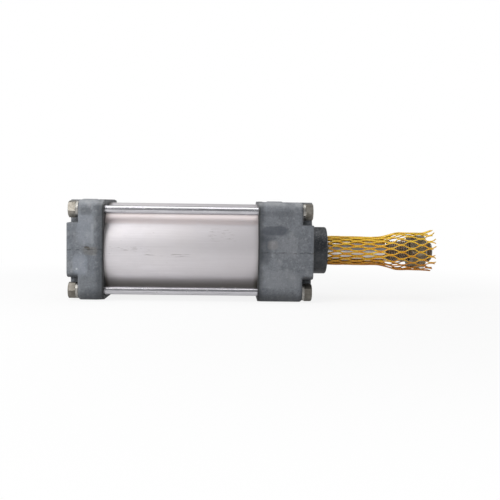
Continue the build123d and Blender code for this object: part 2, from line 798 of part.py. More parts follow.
piston_rings = (
    ("front_piston_seal", front_seal_rear, front_seal_front, piston_seal_radius),
    ("rear_piston_seal", rear_seal_rear, rear_seal_front, piston_seal_radius),
    ("piston_wear_ring", wear_rear, wear_front, wear_groove_radius),
)
for label, low, high, groove_radius in piston_rings:
    ring(
        label,
        low + groove_gap,
        high - groove_gap,
        groove_radius + groove_gap,
        bore_radius - fit_gap,
    )

ring(
    "piston_oring",
    piston_ring_low + groove_gap,
    piston_ring_high - groove_gap,
    piston_seat_diameter / 2 + seat_gap,
    piston_ring_radius - groove_gap,
)
ring(
    "front_cushion_sleeve",
    piston_front_x,
    front_sleeve_x,
    sleeve_seat_diameter / 2 + seat_gap,
    cushion_radius,
)
ring(
    "rear_cushion_sleeve",
    rear_sleeve_x,
    piston_rear_x,
    piston_seat_diameter / 2 + seat_gap,
    cushion_radius,
)

with BuildPart() as piston_nut:
    with BuildSketch(rear_plane(rear_sleeve_x)):
        RegularPolygon(piston_nut_width / 2, 6, major_radius=False)
        Circle(piston_thread_diameter / 2 + seat_gap, mode=Mode.SUBTRACT)
    extrude(amount=piston_nut_height)
save(piston_nut, "piston_nut")

# ---- Piston rod, lock nut and net -----------------------------------------------------------

thread_radius = rod_thread_diameter / 2
relief_radius = thread_radius - thread_depth_share * rod_thread_pitch

with BuildPart() as piston_rod:
    with BuildSketch(side):
        with BuildLine():
            Polyline(
                (rod_rear_x, 0),
                (rod_rear_x, piston_thread_diameter / 2 - rod_rear_chamfer),
                (rod_rear_x + rod_rear_chamfer, piston_thread_diameter / 2),
                (rear_sleeve_x, piston_thread_diameter / 2),
                (rear_sleeve_x, piston_seat_diameter / 2),
                (piston_front_x, piston_seat_diameter / 2),
                (piston_front_x, sleeve_seat_diameter / 2),
                (front_sleeve_x, sleeve_seat_diameter / 2),
                (front_sleeve_x, rod_radius),
                (shoulder_x - rod_shoulder_chamfer, rod_radius),
                (shoulder_x, rod_radius - rod_shoulder_chamfer),
                (shoulder_x, relief_radius),
                (shoulder_x + relief_length, relief_radius),
                (shoulder_x + relief_length + relief_chamfer, thread_radius),
                (tip_x - rod_tip_chamfer, thread_radius),
                (tip_x, thread_radius - rod_tip_chamfer),
                (tip_x, 0),
                close=True,
            )
        make_face()
    revolve(axis=Axis.X)
    for sign in (1, -1):
        with BuildSketch(Plane.XY.offset(sign * flats_width / 2)):
            with Locations(((flats_rear_x + flats_front_x) / 2, 0)):
                Rectangle(flats_length, rod_diameter)
        extrude(amount=sign * rod_radius, mode=Mode.SUBTRACT)
save(piston_rod, "piston_rod")

lock_nut = hexagon_nut(lock_nut_width, lock_nut_height, thread_radius + seat_gap, both_ends=True)
with BuildPart() as rod_lock_nut:
    with Locations((lock_nut_x, 0, 0)):
        add(lock_nut)
save(rod_lock_nut, "rod_lock_nut")

# The net is a soft sleeve: close around the rod, flared over the lock nut, open at both ends.
net_rear_x = gland_projection + net_clearance + net_gland_gap
net_front_x = tip_x + net_reach
flare_rear_x = shoulder_x - net_flare_overlap
flare_front_x = flare_rear_x + net_flare_length
net_narrow_radius = rod_radius + net_clearance
net_wide_radius = lock_nut_width / math.sqrt(3) + net_clearance

with BuildPart() as rod_guard_net:
    with BuildSketch(side):
        with BuildLine():
            Polyline(
                (net_rear_x, net_narrow_radius),
                (net_rear_x, net_narrow_radius + net_wall),
                (flare_rear_x, net_narrow_radius + net_wall),
                (flare_front_x, net_wide_radius + net_wall),
                (net_front_x, net_wide_radius + net_wall),
                (net_front_x, net_wide_radius),
                (flare_front_x, net_wide_radius),
                (flare_rear_x, net_narrow_radius),
                close=True,
            )
        make_face()
    revolve(axis=Axis.X)
save(rod_guard_net, "rod_guard_net")
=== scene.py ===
"""Looks for the tie-rod air cylinder: cast caps, satin barrel, bright tie rods, net over the rod.

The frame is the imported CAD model, in metres: +X along the rod, +Z up, origin in the front mounting
face.
"""
import math
import random

import bmesh
import bpy
from mathutils import Matrix, Vector


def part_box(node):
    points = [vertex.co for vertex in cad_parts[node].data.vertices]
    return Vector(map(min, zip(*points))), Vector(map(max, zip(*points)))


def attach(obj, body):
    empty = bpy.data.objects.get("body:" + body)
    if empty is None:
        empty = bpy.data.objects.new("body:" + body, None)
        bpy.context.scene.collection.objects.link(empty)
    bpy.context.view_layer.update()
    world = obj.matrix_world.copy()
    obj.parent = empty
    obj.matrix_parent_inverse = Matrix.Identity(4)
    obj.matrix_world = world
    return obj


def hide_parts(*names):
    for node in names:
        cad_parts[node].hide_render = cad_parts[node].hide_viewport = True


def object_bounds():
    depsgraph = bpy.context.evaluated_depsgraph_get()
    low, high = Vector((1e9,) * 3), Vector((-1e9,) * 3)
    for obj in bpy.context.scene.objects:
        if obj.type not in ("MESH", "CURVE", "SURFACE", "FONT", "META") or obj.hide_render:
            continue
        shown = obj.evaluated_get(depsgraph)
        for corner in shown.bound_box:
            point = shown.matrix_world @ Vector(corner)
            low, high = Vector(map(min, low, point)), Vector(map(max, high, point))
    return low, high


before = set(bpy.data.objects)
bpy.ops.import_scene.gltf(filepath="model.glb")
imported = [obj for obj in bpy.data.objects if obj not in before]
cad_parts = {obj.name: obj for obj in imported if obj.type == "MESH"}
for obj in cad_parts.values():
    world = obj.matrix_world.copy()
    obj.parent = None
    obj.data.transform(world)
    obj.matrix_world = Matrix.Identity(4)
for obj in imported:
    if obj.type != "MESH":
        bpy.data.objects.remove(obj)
cad_low, cad_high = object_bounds()
MM = 0.001


# ---- Sizes of the CAD model that the looks follow, in metres --------------------------------

front_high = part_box("front_cap")[1]
rear_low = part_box("rear_cap")[0]
barrel_low, barrel_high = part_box("barrel_tube")
barrel_middle = (barrel_low.x + barrel_high.x) / 2
SEAT = 3.0 * MM                             # how far the barrel enters each cap
front_inner = barrel_high.x - SEAT          # barrel sides of the caps
rear_inner = barrel_low.x + SEAT
CAP_HALF = 55.0 * MM                        # axis to the side of a cap
BOSS_HEIGHT, BOSS_HALF = 12.0 * MM, 30.0 * MM
PORT_SETBACK = 20.0 * MM                    # barrel side of a cap to its port
PORT_FACE_RADIUS = 14.0 * MM
PORT_FACE_Z = CAP_HALF - 0.5 * MM
PORT_THREAD_RADIUS, PORT_THREAD_DEPTH = 9.5 * MM, 14.0 * MM
PORT_PITCH = 1.814 * MM                     # G1/2
MOUNT_CIRCLE, MOUNT_RADIUS = 34.0 * MM, 4.25 * MM      # four tapped holes round a cap's axis
MOUNT_DEPTH = 12.5 * MM
M10_PITCH = 1.5 * MM
GLAND_BORE = 27.3 * MM                      # radius of the cap's bore for the gland
TIE_ROD_THREAD = 26.0 * MM                  # its length at either end


# ---- Node-tree helpers ----------------------------------------------------------------------


def put(tree, socket, value):
    """Links value where it is a socket, or sets it on the socket; None leaves the socket alone."""
    if isinstance(value, bpy.types.NodeSocket):
        tree.links.new(value, socket)
    elif value is not None:
        socket.default_value = value


def add_node(tree, kind, *inputs, **settings):
    """A new node, with its settings and its first inputs in their order."""
    made = tree.nodes.new(kind)
    for key, value in settings.items():
        setattr(made, key, value)
    for place, value in enumerate(inputs):
        put(tree, made.inputs[place], value)
    return made


class Paint:
    """One Principled material, with short calls for the nodes that feed it."""

    def __init__(self, name, **uniform):
        self.material = bpy.data.materials.new(name)
        self.material.use_nodes = True
        self.tree = self.material.node_tree
        self.tree.nodes.clear()
        self.shader = self.node("ShaderNodeBsdfPrincipled")
        self.node("ShaderNodeOutputMaterial", self.shader.outputs[0])
        self.coords = self.node("ShaderNodeTexCoord").outputs["Object"]
        self.xyz = self.node("ShaderNodeSeparateXYZ", self.coords).outputs
        self.x, self.y, self.z = self.xyz
        for socket, value in uniform.items():
            self.shader.inputs[socket.replace("_", " ")].default_value = value

    def node(self, kind, *inputs, **settings):
        return add_node(self.tree, kind, *inputs, **settings)

    def set(self, socket, value):
        put(self.tree, self.shader.inputs[socket], value)

    def math(self, operation, a, b=None, c=None):
        return self.node("ShaderNodeMath", a, b, c, operation=operation).outputs[0]

    def times(self, first, *factors):
        for factor in factors:
            first = self.math("MULTIPLY", first, factor)
        return first

    def scaled(self, value, factor, offset):
        """value * factor + offset."""
        return self.math("MULTIPLY_ADD", value, factor, offset)

    def larger(self, a, b):
        return self.math("MAXIMUM", a, b)

    def away(self, value, place):
        """How far value is from place, on either side."""
        return self.math("ABSOLUTE", self.math("SUBTRACT", value, place))

    def wave(self, value, pitch):
        """Sine of value with a period of pitch, from -1 to 1."""
        return self.math("SINE", self.times(value, 2 * math.pi / pitch))

    def around(self, centre, across=("X", "Y")):
        """Distance from a line parallel to one axis, which passes through centre on the others."""
        square = None
        for axis, middle in zip(across, centre):
            off = self.math("SUBTRACT", self.xyz[axis], middle)
            term = self.times(off, off)
            square = term if square is None else self.math("ADD", square, term)
        return self.math("SQRT", square)

    def step(self, value, low, high, to_low=0.0, to_high=1.0):
        """Smooth step of value from to_low, below low, to to_high, above high."""
        return self.node("ShaderNodeMapRange", value, low, high, to_low, to_high,
                         interpolation_type="SMOOTHSTEP").outputs[0]

    def band(self, value, low, high, soft):
        """1 between low and high, falling to 0 within soft outside them."""
        rise = self.step(value, low - soft, low)
        return self.times(rise, self.step(value, high, high + soft, 1.0, 0.0))

    def noise(self, scale, detail=3.0, rough=0.5, stretch=(1, 1, 1), shift=(0, 0, 0)):
        """Noise from 0 to 1; scale is in bumps a metre, stretch is a factor on it for each axis."""
        moved = self.node("ShaderNodeMapping", self.coords, shift, (0, 0, 0), stretch).outputs[0]
        made = self.node("ShaderNodeTexNoise")
        for socket, value in (("Vector", moved), ("Scale", scale),
                              ("Detail", detail), ("Roughness", rough)):
            put(self.tree, made.inputs[socket], value)
        return made.outputs[0]

    def mix(self, factor, a, b):
        """Colour a at factor 0, b at factor 1."""
        made = self.node("ShaderNodeMix", factor, data_type="RGBA")
        for place, colour in ((6, a), (7, b)):
            colour = (*colour, 1.0) if isinstance(colour, tuple) else colour
            put(self.tree, made.inputs[place], colour)
        return made.outputs[2]

    def fade(self, colour, tint, value, low, high, to_low=0.0, to_high=1.0):
        """Colour with a share of tint, which steps with value from to_low to to_high."""
        return self.mix(self.step(value, low, high, to_low, to_high), colour, tint)

    def blob(self, middle, half, soft, ragged):
        """1 inside a rounded patch in X and Z with soft, ragged edges, 0 outside."""
        total = None
        for axis, centre, size in zip(("X", "Z"), middle, half):
            off = self.math("DIVIDE", self.math("SUBTRACT", self.xyz[axis], centre), size)
            term = self.math("POWER", self.math("ABSOLUTE", off), 3.4)
            total = term if total is None else self.math("ADD", total, term)
        return self.step(self.math("ADD", total, ragged), 0.95 - soft, 0.95 + soft, 1.0, 0.0)

    def bevel(self, radius):
        return self.node("ShaderNodeBevel", radius, samples=6).outputs[0]

    def edges(self, radius):
        """0 on a flat face, rising to 1 along edges, from how the bevelled normal leans."""
        true = self.node("ShaderNodeNewGeometry").outputs["Normal"]
        lean = self.node("ShaderNodeVectorMath", self.bevel(radius), true, operation="DOT_PRODUCT")
        return self.step(lean.outputs["Value"], 0.78, 0.995, 1.0, 0.0)

    def relief(self, height, distance, strength, bevel=0.0):
        """Bump from height, which spans distance metres from 0 to 1, over rounded edges."""
        made = self.node("ShaderNodeBump")
        for socket, value in (("Strength", strength), ("Distance", distance), ("Height", height),
                              ("Normal", self.bevel(bevel) if bevel else None)):
            put(self.tree, made.inputs[socket], value)
        self.set("Normal", made.outputs[0])


def srgb(*levels):
    """Linear colour of 8-bit levels."""
    parts = [level / 255 for level in levels]
    return tuple(p / 12.92 if p <= 0.04045 else ((p + 0.055) / 1.055) ** 2.4 for p in parts)


def dress(material, *nodes):
    for name in nodes:
        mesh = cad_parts[name].data
        mesh.materials.clear()
        mesh.materials.append(material)


# ---- Cast caps ------------------------------------------------------------------------------


def coat_colour(paint, shade, mottle, grain, shift):
    """Cloudy grey coat in the four tones of shade, with pale and dark pebbles and specks."""
    cloud = paint.noise(24, 4.0, 0.55, shift=shift)
    pebble = paint.noise(230, 3.0, 0.60, shift=shift)
    streak = paint.noise(60, 3.0, 0.6, stretch=(1.6, 1.6, 0.35), shift=shift)
    speck = paint.noise(520, 3.0, 0.66, shift=shift)
    colour = paint.mix(paint.step(cloud, 0.36, 0.64), srgb(*shade[0]), srgb(*shade[1]))
    colour = paint.fade(colour, srgb(*shade[2]), mottle, 0.50, 0.72, 0.0, 0.55)
    colour = paint.fade(colour, srgb(*shade[3]), streak, 0.52, 0.70, 0.0, 0.40)
    colour = paint.fade(colour, srgb(168, 171, 174), pebble, 0.54, 0.72, 0.0, 0.36)
    colour = paint.fade(colour, (0.040, 0.044, 0.050), pebble, 0.28, 0.45, 0.34, 0.0)
    colour = paint.fade(colour, srgb(160, 163, 166), speck, 0.54, 0.70, 0.0, 0.34)
    colour = paint.fade(colour, (0.045, 0.048, 0.053), speck, 0.30, 0.44, 0.34, 0.0)
    return paint.fade(colour, (0.02, 0.022, 0.025), grain, 0.30, 0.70, 0.14, 0.0)


def dirt_and_painted_light(paint, colour, mottle, rim_x, strip_width, dirt_and_shade, boss_face, shift):
    """Dirt and painted light on the coat: dirt and painted shade beside the barrel, painted shade
    low down, dust and a painted highlight on top, painted shade below the boss and in corners.
    """
    wander = paint.scaled(paint.noise(70, 3.0, 0.6, shift=shift), 0.010, -0.005)
    from_rim = paint.away(paint.x, rim_x)
    # a darker strip beside the barrel: dirt and painted shade
    colour = paint.fade(colour, (0.018, 0.021, 0.025), paint.math("ADD", from_rim, wander),
                        strip_width * 0.45, strip_width * 1.5, dirt_and_shade, 0.0)
    # a near-black line along the rim: painted shade in the crease at the barrel
    colour = paint.fade(colour, (0.012, 0.012, 0.012), from_rim, 0.0008, 0.0026, 0.82, 0.0)
    # darker low down: painted shade
    colour = paint.fade(colour, (0.020, 0.021, 0.022), paint.math("ADD", paint.z, wander),
                        0.005 - CAP_HALF, 0.016 - CAP_HALF, 0.55, 0.0)
    # lighter on top: dust and a painted highlight
    top = paint.step(paint.z, CAP_HALF - 0.0075, CAP_HALF - 0.0020)
    dust_and_painted_highlight = paint.times(top, paint.step(mottle, 0.30, 0.60, 0.20, 0.50))
    colour = paint.mix(dust_and_painted_highlight, colour, srgb(172, 174, 177))
    # painted shade below the boss
    seat_away = abs(boss_face - barrel_middle) - BOSS_HEIGHT
    beyond = paint.math("SUBTRACT", paint.away(paint.x, barrel_middle), seat_away)
    painted_foot_shade = paint.times(paint.band(paint.z, -BOSS_HALF - 0.001, -BOSS_HALF + 0.0015, 0.0045),
                       paint.step(beyond, -0.001, 0.001, 0.0, 0.60))
    colour = paint.mix(painted_foot_shade, colour, (0.016, 0.016, 0.017))
    # painted shade in corners, from ambient occlusion
    corner = paint.node("ShaderNodeAmbientOcclusion", None, 0.007, samples=6, only_local=True)
    return paint.fade(colour, (0.022, 0.022, 0.022), corner.outputs["AO"], 0.45, 0.90, 0.60, 0.0)


def parting_line(paint, height, shift):
    """1 on the mould's parting line, which runs along both sides at height, broken and wavy."""
    wave = paint.noise(85, 2.0, 0.5, stretch=(1, 0, 0), shift=shift)
    off = paint.away(paint.z, paint.scaled(wave, 0.0032, height - 0.0016))
    side = paint.step(paint.math("ABSOLUTE", paint.y), CAP_HALF - 0.0015, CAP_HALF - 0.0005)
    broken = paint.noise(210, 2.0, 0.6, stretch=(1, 0.2, 0.2), shift=shift)
    return paint.times(paint.step(off, 0.0001, 0.0010, 1.0, 0.0), side,
                       paint.step(broken, 0.40, 0.56, 0.15, 0.9))


def machined(paint, port, boss_face):
    """The bare metal where a cap was cut.

    Returns 1 on all of it and 0 elsewhere, the same for the tapped mounting holes alone, and its
    colour, with painted shade darkening down those holes. Port is the distance from the port's axis.
    """
    edge = PORT_FACE_RADIUS - 0.00005
    bare = paint.times(paint.step(port, edge, edge + 0.0001, 1.0, 0.0),
                       paint.step(paint.z, 0.0200, 0.0205),
                       paint.step(paint.z, PORT_FACE_Z + 0.00012, PORT_FACE_Z + 0.00022, 1.0, 0.0))
    holes = None
    for centre in ((MOUNT_CIRCLE, 0.0), (-MOUNT_CIRCLE, 0.0),
                   (0.0, MOUNT_CIRCLE), (0.0, -MOUNT_CIRCLE)):
        off = paint.around(centre, ("Y", "Z"))
        hole = paint.step(off, MOUNT_RADIUS, MOUNT_RADIUS + 0.0002, 1.0, 0.0)
        holes = hole if holes is None else paint.larger(holes, hole)
    inward = math.copysign(MOUNT_DEPTH, barrel_middle - boss_face)
    low, high = sorted((boss_face, boss_face + inward))
    tapped = paint.times(holes, paint.band(paint.x, low, high, 0.0002))
    bare = paint.larger(bare, tapped)
    off = paint.around((0.0, 0.0), ("Y", "Z"))
    bore = paint.step(off, GLAND_BORE + 0.0003, GLAND_BORE + 0.0006, 1.0, 0.0)
    inside = paint.band(paint.x, rear_low.x + 0.004, front_high.x + 0.001, 0.0002)
    bare = paint.larger(bare, paint.times(bore, inside))
    metal = paint.mix(paint.noise(400, 3.0, 0.6), (0.40, 0.41, 0.42), (0.56, 0.56, 0.57))
    # painted shade, darker deeper down the tapped holes
    painted_hole_shade = paint.step(paint.away(paint.x, boss_face), 0.0, 0.0060, 0.45, 0.97)
    return bare, tapped, paint.mix(paint.times(tapped, painted_hole_shade), metal, (0.020, 0.020, 0.021))


def casting(name, rim_x, boss_face, port_x, strip_width, dirt_and_shade, seam, shift, shade, patches):
    """Grey coated casting. A drafted strip runs round beside the barrel, from rim_x, and is darker
    with dirt and painted shade.

    Patches on the near side are (middle, half size, softness, 8-bit tint, amount), in X and Z.
    """
    paint = Paint(name, Metallic=0.0, Specular_IOR_Level=0.42)
    mottle = paint.noise(95, 4.0, 0.62, stretch=(1.0, 1.0, 0.7), shift=shift)
    grain = paint.noise(900, 3.0, 0.6, shift=shift)
    colour = coat_colour(paint, shade, mottle, grain, shift)
    near = paint.step(paint.y, 0.002 - CAP_HALF, 0.005 - CAP_HALF, 1.0, 0.0)
    ragged = paint.scaled(paint.noise(150, 4.0, 0.62, shift=shift), 1.5, -0.75)
    for middle, half, soft, tint, amount in patches:
        spot = paint.times(paint.blob(middle, half, soft, ragged), near, amount)
        colour = paint.mix(spot, colour, srgb(*tint))
    colour = dirt_and_painted_light(paint, colour, mottle, rim_x, strip_width, dirt_and_shade, boss_face, shift)
    ridge = parting_line(paint, seam, shift)
    colour = paint.mix(paint.times(ridge, 0.62), colour, (0.028, 0.030, 0.033))
    worn = paint.times(paint.edges(1.1 * MM), paint.step(mottle, 0.40, 0.62, 0.12, 0.75))
    colour = paint.mix(paint.times(worn, 0.55), colour, srgb(176, 178, 180))
    port = paint.around((port_x, 0.0))
    bare, tapped, metal = machined(paint, port, boss_face)
    paint.set("Base Color", paint.mix(bare, colour, metal))
    paint.set("Metallic", paint.times(bare, 0.9))
    rough = paint.step(mottle, 0.35, 0.70, 0.62, 0.44)
    rough = paint.math("SUBTRACT", rough, paint.times(worn, 0.12))
    paint.set("Roughness", paint.math("SUBTRACT", rough, paint.times(bare, 0.03)))
    # relief: the sand's grain, the parting line, and the threads of the port and mounting holes
    turn = paint.math("ARCTAN2", paint.y, paint.math("SUBTRACT", paint.x, port_x))
    helix = paint.math("SINE", paint.scaled(paint.z, 2 * math.pi / PORT_PITCH, turn))
    wall, end = PORT_THREAD_RADIUS - 0.0001, PORT_FACE_Z - PORT_THREAD_DEPTH
    cut = paint.times(helix, paint.step(port, wall, wall + 0.0003, 1.0, 0.0),
                      paint.step(paint.z, end, end + 0.0007))
    height = paint.scaled(mottle, 0.55, paint.times(grain, 0.24))
    height = paint.scaled(paint.noise(300, 2.0, 0.5, shift=shift), 0.30, height)
    height = paint.times(height, paint.math("SUBTRACT", 1.0, bare))
    height = paint.scaled(ridge, 0.45, height)
    height = paint.scaled(cut, 0.9, height)
    height = paint.scaled(paint.times(paint.wave(paint.x, M10_PITCH), tapped), 0.5, height)
    paint.relief(height, 0.55 * MM, 0.85, bevel=2.0 * MM)
    return paint.material


# ---- Other materials ------------------------------------------------------------------------


def turned(name, dark, light, rough, stretch=(1, 1, 1), scale=300):
    """Machined metal: fine marks one way, a little tarnish, softened edges."""
    paint = Paint(name, Metallic=1.0)
    marks = paint.noise(scale, 4.0, 0.65, stretch=stretch)
    stain = paint.noise(110, 4.0, 0.6)
    colour = paint.mix(paint.step(marks, 0.30, 0.70), dark, light)
    colour = paint.fade(colour, tuple(0.6 * c for c in dark), stain, 0.52, 0.78, 0.0, 0.55)
    paint.set("Base Color", colour)
    paint.set("Roughness", paint.step(stain, 0.30, 0.75, rough, rough + 0.16))
    paint.relief(marks, 0.02 * MM, 0.7, bevel=0.25 * MM)
    return paint.material


def barrel_paint():
    """Satin anodised tube: lengthwise drawing lines, a few dull scuffs, painted shade and grime
    beside the caps, painted shade underneath and towards the front, and a painted reflection and
    shadow below the upper tie rods.
    """
    rear, front = barrel_low.x, barrel_high.x
    paint = Paint("barrel_satin", Metallic=0.55, Specular_IOR_Level=0.5)
    lines = paint.noise(1500, 3.0, 0.7, stretch=(0.010, 1, 1))
    broad = paint.noise(260, 3.0, 0.6, stretch=(0.02, 1, 1), shift=(0.4, 0.1, 0.3))
    blotch = paint.noise(120, 3.0, 0.6, stretch=(0.5, 1, 1), shift=(0.7, 0.3, 0.5))
    cloud = paint.noise(14, 3.0, 0.55)
    colour = paint.mix(paint.step(lines, 0.30, 0.72), (0.708, 0.680, 0.706), (0.774, 0.748, 0.774))
    colour = paint.fade(colour, (0.640, 0.610, 0.630), broad, 0.45, 0.75, 0.0, 0.20)
    colour = paint.fade(colour, (0.640, 0.612, 0.625), blotch, 0.40, 0.66, 0.0, 0.22)
    colour = paint.fade(colour, (0.800, 0.760, 0.745), cloud, 0.42, 0.66, 0.0, 0.25)
    # darker towards the front: painted shade for the light falling off along the tube
    painted_front_shade = paint.scaled(cloud, 0.03, paint.x)
    colour = paint.fade(colour, (0.590, 0.562, 0.580), painted_front_shade, -0.185, -0.050, 0.0, 0.75)
    # scuffs lie in short lengthwise dashes in three places of the near side, and in specks all over
    scuff = 0.0
    for (start, end), (lowest, highest), length, strength in (
        ((0.012, 0.050), (-0.0002, 0.0036), 0.22, 1.0),
        ((0.050, 0.094), (-0.0058, -0.0036), 0.11, 1.3),
        ((0.120, 0.143), (0.0120, 0.0240), 0.22, 0.8),
    ):
        dash = paint.noise(520, 2.0, 0.6, stretch=(length, 1, 2.4), shift=(0.2, 0.0, 0.7))
        zone = paint.times(paint.band(paint.z, lowest, highest, 0.0014),
                           paint.band(paint.x, rear + start, rear + end, 0.006),
                           paint.step(paint.y, -0.02, 0.0, strength, 0.0))
        scuff = paint.larger(scuff, paint.times(paint.step(dash, 0.56, 0.65), zone))
    speck = paint.noise(330, 2.0, 0.6, stretch=(0.4, 1, 1), shift=(0.9, 0.2, 0.1))
    scuff = paint.larger(scuff, paint.times(paint.step(speck, 0.72, 0.78), 0.6))
    colour = paint.mix(paint.times(scuff, 0.45), colour, (0.22, 0.19, 0.18))
    # painted shade and some grime all round beside the caps, a painted shadow high up at the rear,
    # and painted shade low down beside the caps and on the underside
    beside = paint.larger(paint.step(paint.x, rear + 0.003, rear + 0.006, 1.0, 0.0),
                          paint.step(paint.x, front - 0.006, front - 0.003))
    painted_shade_and_grime = paint.times(beside, paint.step(cloud, 0.3, 0.7, 0.1, 0.3))
    colour = paint.mix(painted_shade_and_grime, colour, (0.22, 0.20, 0.18))
    painted_shade_and_grime = paint.times(paint.step(paint.x, rear + 0.0035, rear + 0.0085, 1.0, 0.0),
                        paint.step(paint.z, 0.016, 0.034, 0.0, 0.72))
    colour = paint.mix(painted_shade_and_grime, colour, (0.10, 0.080, 0.065))
    beside = paint.larger(paint.step(paint.x, rear + 0.0035, rear + 0.0080, 1.0, 0.0),
                          paint.step(paint.x, front - 0.0090, front - 0.0035))
    painted_shade_and_grime = paint.times(beside, paint.step(paint.z, -0.0370, -0.0200, 0.75, 0.12))
    colour = paint.mix(painted_shade_and_grime, colour, (0.085, 0.066, 0.046))
    # painted shade on the underside
    colour = paint.fade(colour, (0.080, 0.070, 0.055), paint.z, -0.0400, -0.0270, 0.80, 0.0)
    # below each upper tie rod: a faint warm film, a painted reflection, and a thin dark line right
    # under the rod, a painted shadow
    film = paint.times(paint.band(paint.z, 0.0312, 0.0402, 0.0035),
                       paint.step(blotch, 0.25, 0.60, 0.45, 0.75))
    colour = paint.mix(film, colour, (0.725, 0.640, 0.630))
    painted_rod_shadow = paint.times(paint.band(paint.z, 0.0394, 0.0400, 0.0014),
                          paint.step(broad, 0.30, 0.65, 0.22, 0.46))
    colour = paint.mix(painted_rod_shadow, colour, (0.200, 0.170, 0.160))
    paint.set("Base Color", colour)
    paint.set("Roughness", paint.step(lines, 0.25, 0.75, 0.52, 0.42))
    height = paint.scaled(broad, 0.5, paint.times(lines, 0.5))
    paint.relief(paint.scaled(scuff, -0.6, height), 0.008 * MM, 0.6)
    return paint.material


def tie_rod_paint():
    """Bright drawn steel with rolled thread and turned faces at both ends."""
    low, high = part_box("tie_rod_1")
    paint = Paint("tie_rod_bright", Metallic=1.0)

    def ends(depth, soft):
        """1 within depth of either end, 0 beyond, with a soft change on the inner side."""
        return paint.larger(paint.step(paint.x, low.x + depth, low.x + depth + soft, 1.0, 0.0),
                            paint.step(paint.x, high.x - depth - soft, high.x - depth))

    lines = paint.noise(1400, 3.0, 0.65, stretch=(0.03, 1, 1))
    spots = paint.noise(170, 4.0, 0.65, stretch=(0.5, 1, 1))
    colour = paint.mix(paint.step(lines, 0.3, 0.7), (0.48, 0.47, 0.495), (0.67, 0.66, 0.695))
    colour = paint.fade(colour, (0.40, 0.385, 0.38), spots, 0.58, 0.78, 0.0, 0.35)
    face = ends(0.1 * MM, 0.6 * MM)
    axis = abs(low.y + high.y) / 2              # the same across and up, for all four
    y = paint.math("SUBTRACT", paint.math("ABSOLUTE", paint.y), axis)
    z = paint.math("SUBTRACT", paint.math("ABSOLUTE", paint.z), axis)
    ring = paint.math("SQRT", paint.scaled(y, y, paint.times(z, z)))
    marks = paint.step(paint.wave(ring, 0.8 * MM), -0.8, 0.8)
    colour = paint.mix(face, colour, paint.mix(marks, (0.17, 0.16, 0.15), (0.31, 0.30, 0.285)))
    paint.set("Base Color", colour)
    paint.set("Roughness", paint.scaled(face, 0.22, paint.step(spots, 0.35, 0.75, 0.19, 0.30)))
    thread = paint.times(paint.wave(paint.x, M10_PITCH), ends(TIE_ROD_THREAD - 0.5 * MM, 0.7 * MM))
    paint.relief(paint.scaled(thread, 14.0, lines), 0.010 * MM, 0.6, bevel=0.3 * MM)
    return paint.material


def nut_paint(name, dark, light, rough, dirt_and_shade=0.0):
    """Plated nut: dull zinc, brown in places, bright where a spanner has bitten its corners."""
    paint = Paint(name, Metallic=0.9)
    cloud = paint.noise(160, 4.0, 0.6)
    grain = paint.noise(1100, 3.0, 0.6)
    colour = paint.mix(paint.step(cloud, 0.38, 0.66), dark, light)
    colour = paint.fade(colour, (0.20, 0.175, 0.14), grain, 0.50, 0.75, 0.0, 0.35)
    worn = paint.times(paint.edges(0.6 * MM), paint.step(cloud, 0.3, 0.6, 0.3, 0.9))
    colour = paint.mix(paint.times(worn, 0.6), colour, (0.72, 0.70, 0.66))
    if dirt_and_shade:
        # darker low down, painted shade, and darker towards the front
        low = paint.step(paint.z, -0.030, -0.020, dirt_and_shade, 0.0)
        front = paint.step(paint.x, -0.200, -0.100, 0.0, dirt_and_shade * 0.35)
        both = paint.times(paint.math("MINIMUM", low, front), 0.2)
        painted_shade_and_grime = paint.math("ADD", paint.larger(low, front), both)
        colour = paint.mix(painted_shade_and_grime, colour, (0.055, 0.050, 0.042))
    paint.set("Base Color", colour)
    paint.set("Roughness", paint.step(grain, 0.3, 0.7, rough, rough + 0.14))
    paint.relief(paint.scaled(cloud, 0.6, grain), 0.045 * MM, 0.7, bevel=0.6 * MM)
    return paint.material


def gland_paint():
    """Black anodised nose with rubbed scuffs, and more of them on its upper side as a painted
    highlight.
    """
    paint = Paint("gland_black", Metallic=0.35)
    rings = paint.noise(1300, 3.0, 0.6, stretch=(1, 0.06, 0.06))
    cloud = paint.noise(130, 4.0, 0.65)
    rubbed = paint.noise(620, 3.0, 0.7, stretch=(0.8, 1, 1), shift=(0.3, 0.6, 0.2))
    # scuffs, growing on the upper side into a painted highlight
    scuff = paint.times(paint.step(rubbed, 0.50, 0.64),
                        paint.step(paint.z, -0.006, 0.024, 0.28, 1.0))
    colour = paint.mix(paint.step(cloud, 0.36, 0.66), (0.036, 0.040, 0.045), (0.066, 0.070, 0.077))
    colour = paint.mix(paint.times(scuff, 0.6), colour, (0.22, 0.225, 0.24))
    colour = paint.mix(paint.times(paint.edges(0.6 * MM), 0.35), colour, (0.22, 0.22, 0.23))
    paint.set("Base Color", colour)
    paint.set("Roughness", paint.step(cloud, 0.3, 0.7, 0.50, 0.36))
    paint.relief(paint.scaled(scuff, 0.5, paint.times(rings, 0.5)), 0.030 * MM, 0.7, bevel=0.6 * MM)
    return paint.material


def rubber_paint():
    paint = Paint("seal_rubber", Specular_IOR_Level=0.35)
    grain = paint.noise(1600, 3.0, 0.6)
    shade = paint.step(grain, 0.3, 0.7)
    paint.set("Base Color", paint.mix(shade, (0.012, 0.012, 0.013), (0.035, 0.034, 0.034)))
    paint.set("Roughness", paint.step(grain, 0.3, 0.7, 0.55, 0.72))
    paint.relief(grain, 0.03 * MM, 0.6, bevel=0.3 * MM)
    return paint.material


def plastic_paint():
    paint = Paint("wear_ring_plastic")
    grain = paint.noise(500, 3.0, 0.6)
    paint.set("Base Color", paint.mix(grain, (0.52, 0.48, 0.38), (0.66, 0.62, 0.52)))
    paint.set("Roughness", paint.step(grain, 0.3, 0.7, 0.42, 0.55))
    paint.relief(grain, 0.02 * MM, 0.5, bevel=0.3 * MM)
    return paint.material


